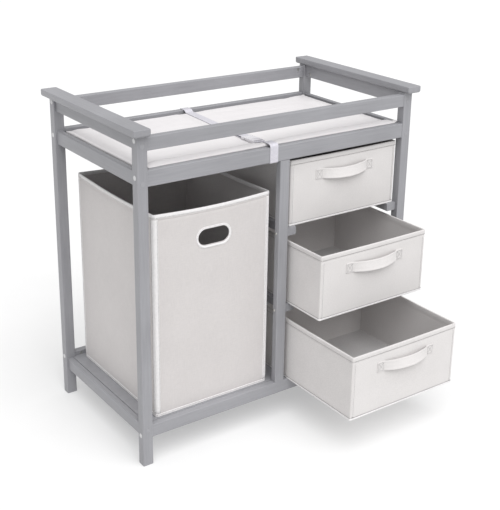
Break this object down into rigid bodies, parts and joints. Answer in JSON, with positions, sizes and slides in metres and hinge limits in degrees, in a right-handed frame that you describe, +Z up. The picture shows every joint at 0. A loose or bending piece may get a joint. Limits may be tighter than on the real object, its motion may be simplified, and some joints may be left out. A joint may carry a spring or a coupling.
{
  "type": "changing table",
  "caption": "Open timber changing table with a strapped pad between guard rails, fabric pull-out drawers on runners and a tall fabric laundry hamper.",
  "frame": {"origin": "on the floor, at the centre of the rectangle that the four corner posts stand on", "axes": "+X to the right as seen from the front, +Y to the back, +Z up; the drawers pull out along -Y"},
  "size_m": [0.938, 0.8042, 0.94],
  "materials": {
    "painted_timber": "satin grey paint over fine-grained timber",
    "painted_panel": "satin grey paint on board",
    "zinc_steel": "zinc plated",
    "screw_steel": "zinc plated",
    "cover_plastic": "satin",
    "beech": "raw",
    "pad_vinyl": "soft vinyl",
    "webbing": "woven",
    "buckle_plastic": "satin",
    "stiffening_board": "fabric over board",
    "drawer_fabric": "non-woven cloth",
    "handle_fabric": "folded cloth strap",
    "white_binding": "woven tape",
    "hamper_fabric": "fine weave"
  },
  "bodies": {
    "frame": {"barrel_nuts": "zinc_steel", "bolt_covers": "cover_plastic", "bottom_shelf": "painted_panel", "buckle_plug": "buckle_plastic", "buckle_socket": "buckle_plastic", "cap_left": "painted_timber", "cap_right": "painted_timber", "changing_pad": "pad_vinyl", "changing_platform": "painted_panel", "cleat_screws": "screw_steel", "connector_bolts": "zinc_steel", "end_rail_bottom_left": "painted_timber", "end_rail_bottom_right": "painted_timber", "end_rail_lower_left": "painted_timber", "end_rail_lower_right": "painted_timber", "end_rail_upper_left": "painted_timber", "end_rail_upper_right": "painted_timber", "middle_post_back": "painted_timber", "middle_post_front": "painted_timber", "post_back_left": "painted_timber", "post_back_right": "painted_timber", "post_front_left": "painted_timber", "post_front_right": "painted_timber", "rail_bottom_back": "painted_timber", "rail_bottom_front": "painted_timber", "rail_lower_back": "painted_timber", "rail_lower_front": "painted_timber", "rail_upper_back": "painted_timber", "rail_upper_front": "painted_timber", "runner_lower_left": "painted_timber", "runner_lower_right": "painted_timber", "runner_screws": "screw_steel", "runner_upper_left": "painted_timber", "runner_upper_right": "painted_timber", "shelf_cleats": "painted_panel", "strap_back": "webbing", "strap_front": "webbing", "strap_screws": "screw_steel", "wood_dowels": "beech"},
    "drawer_top": {"drawer_top_base_board": "stiffening_board", "drawer_top_bin": "drawer_fabric", "drawer_top_binding": "white_binding", "drawer_top_handle": "handle_fabric"},
    "drawer_middle": {"drawer_middle_base_board": "stiffening_board", "drawer_middle_bin": "drawer_fabric", "drawer_middle_binding": "white_binding", "drawer_middle_handle": "handle_fabric"},
    "drawer_bottom": {"drawer_bottom_base_board": "stiffening_board", "drawer_bottom_bin": "drawer_fabric", "drawer_bottom_binding": "white_binding", "drawer_bottom_handle": "handle_fabric"},
    "hamper": {"hamper_base_board": "stiffening_board", "hamper_body": "hamper_fabric", "hamper_corner_tapes": "white_binding", "hamper_grip": "white_binding", "hamper_hem_band": "white_binding", "hamper_rim_binding": "white_binding"}
  },
  "joints": [
    {"name": "drawer_top_slide", "type": "slide", "parent": "frame", "child": "drawer_top", "axis": [0, -1, 0], "range_m": [0, 0.3]},
    {"name": "drawer_middle_slide", "type": "slide", "parent": "frame", "child": "drawer_middle", "axis": [0, -1, 0], "range_m": [-0.146, 0.154]},
    {"name": "drawer_bottom_slide", "type": "slide", "parent": "frame", "child": "drawer_bottom", "axis": [0, -1, 0], "range_m": [-0.293, 0.007]},
    {"name": "hamper_slide", "type": "slide", "parent": "frame", "child": "hamper", "axis": [0, -1, 0], "range_m": [0, 0.3]}
  ]
}
